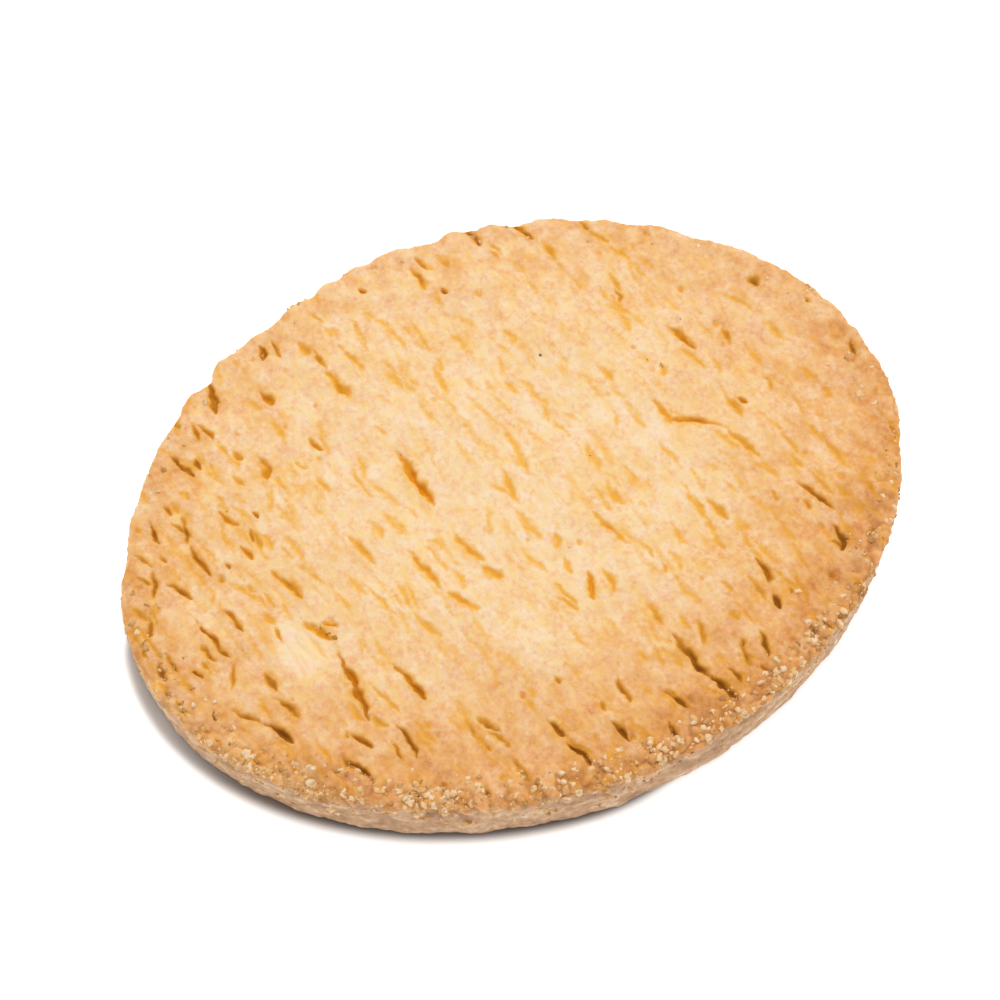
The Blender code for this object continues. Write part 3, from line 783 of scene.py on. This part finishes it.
bands = plus(mottle(CRUMB_MM, (0.42, 0.42, 1.2)), 0.65, plus(grit_of_colour, 0.35, 0.0))
wall = ramp_of(bands, [(0.32, "#A98262"), (0.50, "#CDA580"), (0.66, "#E6C7A6")])
# painted shade in the side's creases
wall = mix(smooth_step(value_of("crease_shade"), 0.1, 0.9, 0.3), wall, linear("#96704E"))
bottom = ramp_of(crumbs_of_colour, [(0.3, "#B87838"), (0.5, "#D0924E"), (0.7, "#E2AE6E")])
dough_colour = mix(value_of("under"), mix(value_of("side"), face, wall), bottom)
# painted shade along the foot of the side
dough_colour = mix(value_of("painted_foot_shade"), dough_colour, linear("#7E6048"))

bump = add(tree, "ShaderNodeBump", {"Height": mottle(BUMP_MM), "Strength": 0.40, "Distance": 0.14 * MM}).outputs[0]
shader = add(tree, "ShaderNodeBsdfPrincipled", {
    "Base Color": dough_colour, "Normal": bump, "Roughness": 0.78, "IOR": 1.45, "Specular IOR Level": 0.35,
    "Subsurface Weight": 0.15, "Subsurface Radius": (1.0, 0.45, 0.2), "Subsurface Scale": 0.7 * MM})
add(tree, "ShaderNodeOutputMaterial", {"Surface": shader.outputs[0]})
biscuit.data.materials.append(baked_dough)


def put_on(thing):
    """Ties a piece to the part's body and hides the solid biscuit, which it stands in for."""
    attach(thing, "root")
    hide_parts("biscuit")


put_on(biscuit)
print("dough material:", len(tree.nodes), "nodes")

# %% [markdown]
# ## Coarse sugar on the edge
# Grains of up to a millimetre. They follow the same seeded rule as the solid, so each lies where its solid
# grain does, only a little deeper. A ball would do for one, but sugar has flat sides, so each ball is cut
# back by planes. The grains are cream, not pure white.

# %% Sugar grains
GRAIN_COUNT, GRAIN_RADIUS, GRAIN_SEED = 46, (0.30, 0.52), 11


def grain_place(draw):
    if draw.random() < 0.72:
        turn = math.radians(draw.uniform(-150, -56))
    else:
        turn = math.radians(draw.uniform(-180, 180))
    inset = draw.choice([0.2, 0.4, 0.8, 1.3, 2.0]) + draw.uniform(0, 0.5)
    x, y = outline(turn, inset)
    drop = 0.25 if inset < 0.8 else 0.0
    return Vector((x, y, top_height(x, y) - drop))


def ico(subdivisions):
    """Points and faces of a ball of radius one."""
    bm = bmesh.new()
    bmesh.ops.create_icosphere(bm, subdivisions=subdivisions, radius=1.0)
    bm.verts.ensure_lookup_table()
    ball = [vert.co.copy() for vert in bm.verts]
    corners = [tuple(vert.index for vert in face.verts) for face in bm.faces]
    bm.free()
    return ball, corners


def crystal(ball, radius, draw):
    """A drawn-out lump with flat sides: a ball cut back by nine planes."""
    sides = []
    for _ in range(9):
        facing = Vector([draw.gauss(0, 1) for _ in range(3)]).normalized()
        sides.append((facing, radius * draw.uniform(0.60, 1.0)))
    stretch = Vector((1.25, draw.uniform(0.6, 0.9), 0.8))
    return [corner * min([radius * 1.15] + [reach / max(corner.dot(facing), 0.05) for facing, reach in sides])
            * stretch for corner in ball]


ball, ball_faces = ico(1)
fine_ball, fine_ball_faces = ico(2)
draw = random.Random(GRAIN_SEED)
shape_draw = random.Random(GRAIN_SEED + 1)
radii = sorted((draw.uniform(*GRAIN_RADIUS) for _ in range(GRAIN_COUNT)), reverse=True)
grain_points, grain_faces = [], []
for radius in radii:
    skipped = [draw.uniform(0.82, 1.12) for _ in ball]  # the solid's corners; keeps the draws in step
    spin = Matrix.Rotation(draw.uniform(0, math.tau), 3, Vector((draw.random(), draw.random(), 1)))
    centre = grain_place(draw) - Vector((0, 0, 0.45 * radius))
    first = len(grain_points)
    grain_points.extend(centre + spin @ corner for corner in crystal(fine_ball, radius, shape_draw))
    grain_faces.extend(tuple(first + index for index in face) for face in fine_ball_faces)
sugar = to_object("coarse_sugar", np.clip(np.array(grain_points), low + 0.01, high - 0.01), grain_faces)
sugar.data.shade_smooth()

coarse_sugar, tree = new_material("coarse_white_sugar")
place = add(tree, "ShaderNodeTexCoord").outputs["Object"]
cloud = add(tree, "ShaderNodeTexNoise", {"Vector": place, "Scale": 1 / (0.7 * MM), "Detail": 2.0}).outputs["Fac"]
sugar_ramp = add(tree, "ShaderNodeValToRGB", {"Fac": cloud})
set_ramp(sugar_ramp, [(0.3, "#E0AE74"), (0.5, "#F0C896"), (0.7, "#FDE3BE")])
shader = add(tree, "ShaderNodeBsdfPrincipled", {
    "Base Color": sugar_ramp.outputs["Color"], "Roughness": 0.35, "IOR": 1.54,
    "Subsurface Weight": 0.4, "Subsurface Radius": (1.0, 0.8, 0.5), "Subsurface Scale": 0.5 * MM})
add(tree, "ShaderNodeOutputMaterial", {"Surface": shader.outputs[0]})
sugar.data.materials.append(coarse_sugar)
put_on(sugar)
print(GRAIN_COUNT, "grains from", round(2 * radii[-1], 2), "to", round(2 * radii[0], 2), "mm across")

# %% [markdown]
# ## Crumbs, specks and zest
# Broken crumbs of the pale inside cling to the rim, most of all at the front, where the wire left the
# dough. In the face lie a few grey-brown specks and flecks of zest. All of them are small lumps of true
# size, set into the surface of the mesh. Each one has a shade of its own, so a heap doesn't look like one
# material. One function sets a list of lumps into the surface.

# %% Set small lumps into the surface
surface_normals = normals_of(biscuit)
on_top = np.flatnonzero(level > 0.95)


def nearest(x, y):
    """The point of the upper face that lies nearest to a place."""
    away = (points[on_top, 0] - CENTRE_X - x) ** 2 + (points[on_top, 1] - CENTRE_Y - y) ** 2
    return int(on_top[np.argmin(away)])


def lump(ball, size, jag, draw):
    """A ball pushed in and out, flattened and turned at random."""
    stretch = Vector((draw.uniform(0.75, 1.2), draw.uniform(0.75, 1.2), draw.uniform(0.6, 1.0)))
    start = Vector((draw.uniform(-50, 50), 0.0, 0.0))
    spin = Matrix.Rotation(draw.uniform(0, math.tau), 3, Vector((draw.gauss(0, 0.5), draw.gauss(0, 0.5), 1.0)))
    return [spin @ ((corner * stretch) * (size * (1 + jag * noise.noise(corner * 1.3 + start)))) for corner in ball]


def build_lumps(name, rows, ball, corners, jag, sunk, seed):
    """One mesh of many lumps, from rows of point number, radius in millimetres and shade."""
    draw = random.Random(seed)
    all_points, all_faces, shades = [], [], []
    for index, size, shade in rows:
        centre = Vector(points[index]) - Vector(surface_normals[index]) * (sunk * size)
        first = len(all_points)
        all_points.extend(centre + corner for corner in lump(ball, size, jag, draw))
        all_faces.extend(tuple(first + corner for corner in face) for face in corners)
        shades.extend([shade] * len(ball))
    thing = to_object(name, np.clip(np.array(all_points), low + 0.01, high - 0.01), all_faces)
    thing.data.shade_smooth()
    note(thing, "shade", shades)
    put_on(thing)
    return thing


# %% [markdown]
# The crumbs that catch the eye are listed by their places, the rest are drawn by a rule that favours the
# rim and the front. They are dry dough like the face, rough and matt, only paler.

# %% Where the crumbs lie
PALE_CRUMBS = [
    (-3.4, 31.2), (-14.2, 28.1), (-37.0, 11.0), (35.5, 10.2), (37.0, -7.9), (36.2, -6.2), (35.4, -1.6), (-35.5, -11.8),
    (-32.0, -15.8), (-25.8, -18.0), (-30.1, -19.8), (-29.5, -20.2), (-30.8, -21.7), (-25.5, -22.2), (-25.0, -23.7),
    (-25.4, -22.7), (-23.3, -24.4), (-20.9, -24.9), (-18.6, -25.3), (-19.2, -24.1), (-15.8, -26.8), (-14.3, -28.2),
    (-12.8, -29.1), (-18.3, -26.5), (-17.2, -27.3), (-14.6, -26.0), (-25.6, -20.8), (-21.8, -23.8), (-9.4, -27.8),
    (-8.7, -29.1), (-6.8, -28.9), (-6.3, -30.5), (-4.6, -30.7), (-2.2, -31.1), (-0.6, -30.6), (1.6, -32.1),
    (4.6, -29.7), (7.1, -31.3), (4.8, -30.4), (1.7, -29.4), (3.4, -29.6), (18.7, -16.2), (17.5, -25.8),
    (17.0, -27.0), (19.1, -27.3), (11.5, -24.1), (20.4, -26.5), (18.7, -22.4), (13.8, -30.1), (12.8, -29.0),
    (18.1, -27.3), (-25.6, -22.2), (-25.4, -22.9), (-24.9, -23.6), (-24.5, -24.1), (-24.1, -24.6), (-23.4, -23.9),
    (-22.9, -24.3), (-21.0, -25.0), (-20.8, -25.6), (-23.3, -25.1), (-22.3, -24.8), (-22.9, -22.6),
]
CRUMB_COUNT, CRUMB_SEED = 1500, 31
draw = random.Random(CRUMB_SEED)
near_rim = ease(share, 0.90, 1.0) * ease(level, 0.25, 0.80)
facing_front = ease(np.cos(turn - math.radians(-108)), 0.0, 0.8)
likely = near_rim * (0.06 + facing_front)
crumb_rows = [(nearest(x, y), draw.uniform(0.30, 0.45), draw.uniform(0.75, 1.0)) for x, y in PALE_CRUMBS]
for index in draw.choices(range(len(likely)), weights=likely.tolist(), k=CRUMB_COUNT):
    crumb_rows.append((index, draw.choice([0.14, 0.17, 0.20, 0.24, 0.30, 0.38]) * draw.uniform(0.85, 1.2),
                       draw.uniform(0.0, 1.0)))
crumbs = build_lumps("loose_crumbs", crumb_rows, fine_ball, fine_ball_faces, 0.9, 0.55, CRUMB_SEED)

pale_crumb, tree = new_material("pale_baked_crumb")
place = add(tree, "ShaderNodeTexCoord").outputs["Object"]
tone = plus(mottle(GRIT_MM, detail=2.0), 0.5, plus(value_of("shade"), 0.75, -0.15))
shader = add(tree, "ShaderNodeBsdfPrincipled", {
    "Base Color": ramp_of(tone, [(0.0, "#B67C42"), (0.30, "#D6A064"), (0.60, "#EEBF86"), (0.75, "#F8D2A2"),
                                 (0.95, "#FFE8C6")]),
    "Roughness": 0.8, "IOR": 1.45, "Specular IOR Level": 0.35})
add(tree, "ShaderNodeOutputMaterial", {"Surface": shader.outputs[0]})
crumbs.data.materials.append(pale_crumb)
print(len(crumb_rows), "crumbs,", len(crumbs.data.polygons), "triangles")

# %% [markdown]
# The specks are small dark crumbs, grey-brown and dull. The golden flecks are taken for grated lemon peel.
# Both lie nearly flush, as things do that were baked into the dough.

# %% Specks and zest
SPECKS = [(10.9, 13.6, 0.40), (25.4, 10.4, 0.42), (-24.8, 13.1, 0.25), (-22.3, 12.3, 0.25), (-13.3, -16.4, 0.25)]
ZEST = [(20.7, 6.4, 0.45), (20.3, 5.4, 0.40), (-23.2, 1.4, 0.40), (-23.9, -2.6, 0.40), (-22.9, -3.8, 0.40),
        (-21.9, -3.2, 0.35), (-23.2, -3.0, 0.35), (-22.4, -4.4, 0.35), (-6.9, -5.0, 0.35), (2.1, -7.2, 0.30)]
draw = random.Random(CRUMB_SEED + 1)
speck_rows = [(nearest(x, y), size, draw.random()) for x, y, size in SPECKS]
zest_rows = [(nearest(x, y), size, draw.random()) for x, y, size in ZEST]
for index in draw.choices(on_top.tolist(), k=6):
    speck_rows.append((index, draw.uniform(0.12, 0.20), draw.random()))
for index in draw.choices(on_top.tolist(), k=10):
    zest_rows.append((index, draw.uniform(0.15, 0.28), draw.random()))
specks = build_lumps("dark_specks", speck_rows, ball, ball_faces, 0.5, 0.72, CRUMB_SEED + 2)
zest = build_lumps("zest_flecks", zest_rows, ball, ball_faces, 0.7, 0.72, CRUMB_SEED + 3)
for thing, name, stops in ((specks, "burnt_crumb", [(0.0, "#7A6450"), (1.0, "#A08660")]),
                           (zest, "lemon_zest", [(0.0, "#A87818"), (1.0, "#DDA23A")])):
    made, tree = new_material(name)
    shader = add(tree, "ShaderNodeBsdfPrincipled", {"Base Color": ramp_of(value_of("shade"), stops), "Roughness": 0.7,
                                                    "IOR": 1.45})
    add(tree, "ShaderNodeOutputMaterial", {"Surface": shader.outputs[0]})
    thing.data.materials.append(made)
print(len(speck_rows), "specks,", len(zest_rows), "flecks of zest")

# %% [markdown]
# ## Floor, light and camera
# A white acrylic sheet that glows a little, as on a lit table. The glow is painted light: it keeps the ground white
# and fills the shade round the biscuit. Where the biscuit stands the glow fades out, and a painted shadow, a thin dark
# line, lies under its foot on the side away from the light. The sheet is a web of rings round the outline, so that
# this line can follow it.

# %% Floor
FLOOR_RINGS = [-30.0, -3.0, -2.4, -2.0, -1.6, -1.2, -0.8, -0.6, -0.4, -0.2, 0.0, 0.15, 0.3, 0.45, 0.6, 0.8, 1.0, 1.3,
               1.7, 2.2, 3.0, 5.0, 20.0, 2000.0]
FLOOR_TURNS = 720
SHADE_TURN, PAINTED_SHADOW_TURN, GLOW = math.radians(-144), math.radians(-125), 0.6
floor_turn = math.tau * np.arange(FLOOR_TURNS) / FLOOR_TURNS
shaded = ease(np.cos(floor_turn - SHADE_TURN), 0.50, 0.85)
# how strong the painted shadow is at each turn, strongest away from the light
painted_shadow_strength = 0.2 + 0.8 * ease(np.cos(floor_turn - PAINTED_SHADOW_TURN), 0.60, 0.93)
floor_points, glow_values, painted_shadow_values = [], [], []
for out in FLOOR_RINGS:
    ring_x, ring_y = outline(floor_turn, -out)
    floor_points.append(np.stack([ring_x, ring_y, np.zeros(FLOOR_TURNS)], axis=-1))
    reach = 0.25 - 2.0 * (1 - shaded) ** 2  # where the dark gives way, in millimetres out from the outline
    # painted shadow: a dark band on the floor under the foot
    painted_shadow_values.append((1 - ease(out - reach, -0.5, 0.4)) * painted_shadow_strength)
    # the glow is painted light; it fades out near the foot so the painted shadow shows
    glow_values.append(ease(out - reach, -0.3, 1.3))
floor_faces = [(ring * FLOOR_TURNS + step, (ring + 1) * FLOOR_TURNS + step,
                (ring + 1) * FLOOR_TURNS + (step + 1) % FLOOR_TURNS, ring * FLOOR_TURNS + (step + 1) % FLOOR_TURNS)
               for ring in range(len(FLOOR_RINGS) - 1) for step in range(FLOOR_TURNS)]
floor_faces.append(tuple(range(FLOOR_TURNS)))
floor = to_object("floor", np.concatenate(floor_points), floor_faces)
note(floor, "glow", np.concatenate(glow_values))
note(floor, "painted_shadow", np.concatenate(painted_shadow_values))

white_acrylic, tree = new_material("white_acrylic_sheet")
shader = add(tree, "ShaderNodeBsdfPrincipled", {
    # the floor is painted grey-brown where the painted shadow lies, and its glow is painted light that keeps the rest
    # white
    "Base Color": mix(value_of("painted_shadow"), linear("#F6F6F6"), linear("#9C9088")), "Roughness": 0.6,
    "Specular IOR Level": 0.2, "Emission Color": (1.0, 1.0, 1.0, 1.0),
    "Emission Strength": smooth_step(value_of("glow"), 0.0, 1.0, GLOW)})
add(tree, "ShaderNodeOutputMaterial", {"Surface": shader.outputs[0]})
floor.data.materials.append(white_acrylic)

# %% [markdown]
# One large soft light stands high at the back right, a little warm, as a softbox does. The white room
# fills the shade, so the tears stay golden and don't go black.

# %% Lights
world = bpy.data.worlds.new("white_room")
world.use_nodes = True
world.node_tree.nodes["Background"].inputs["Color"].default_value = (1.0, 1.0, 1.0, 1.0)
world.node_tree.nodes["Background"].inputs["Strength"].default_value = 0.60
bpy.context.scene.world = world


def soft_light(name, turn, elevation, distance, size, watts, colour):
    """A square area light that looks at the biscuit."""
    lamp = bpy.data.lights.new(name, "AREA")
    lamp.shape, lamp.size, lamp.energy, lamp.color = "SQUARE", size, watts, linear(colour)[:3]
    thing = bpy.data.objects.new(name, lamp)
    turn, elevation = math.radians(turn), math.radians(elevation)
    away = Vector((math.cos(turn) * math.cos(elevation), math.sin(turn) * math.cos(elevation), math.sin(elevation)))
    thing.location = away * distance
    thing.rotation_euler = away.to_track_quat("Z", "Y").to_euler()
    bpy.context.scene.collection.objects.link(thing)
    return thing


key = soft_light("key", 45, 68, 1.0, 0.5, 4.6, "#FFFCF6")
print("key light at", [round(value, 2) for value in key.location])

# %% [markdown]
# The camera looks down at the biscuit from the front left with a long lens, so the oval is hardly drawn
# together at its far end.

# %% Camera
AZIMUTH, ELEVATION, DISTANCE = math.radians(-30.1), math.radians(58), 0.400
AIM = Vector((-0.00003, 0.00246, 0.0023))
camera_data = bpy.data.cameras.new("camera")
camera_data.sensor_width, camera_data.lens = 36.0, 145.66
camera = bpy.data.objects.new("camera", camera_data)
back = Vector((math.sin(AZIMUTH) * math.cos(ELEVATION), -math.cos(AZIMUTH) * math.cos(ELEVATION), math.sin(ELEVATION)))
camera.location = AIM + back * DISTANCE
camera.rotation_euler = back.to_track_quat("Z", "Y").to_euler()
bpy.context.scene.collection.objects.link(camera)
bpy.context.scene.camera = camera
bpy.context.scene.view_settings.view_transform = "Standard"
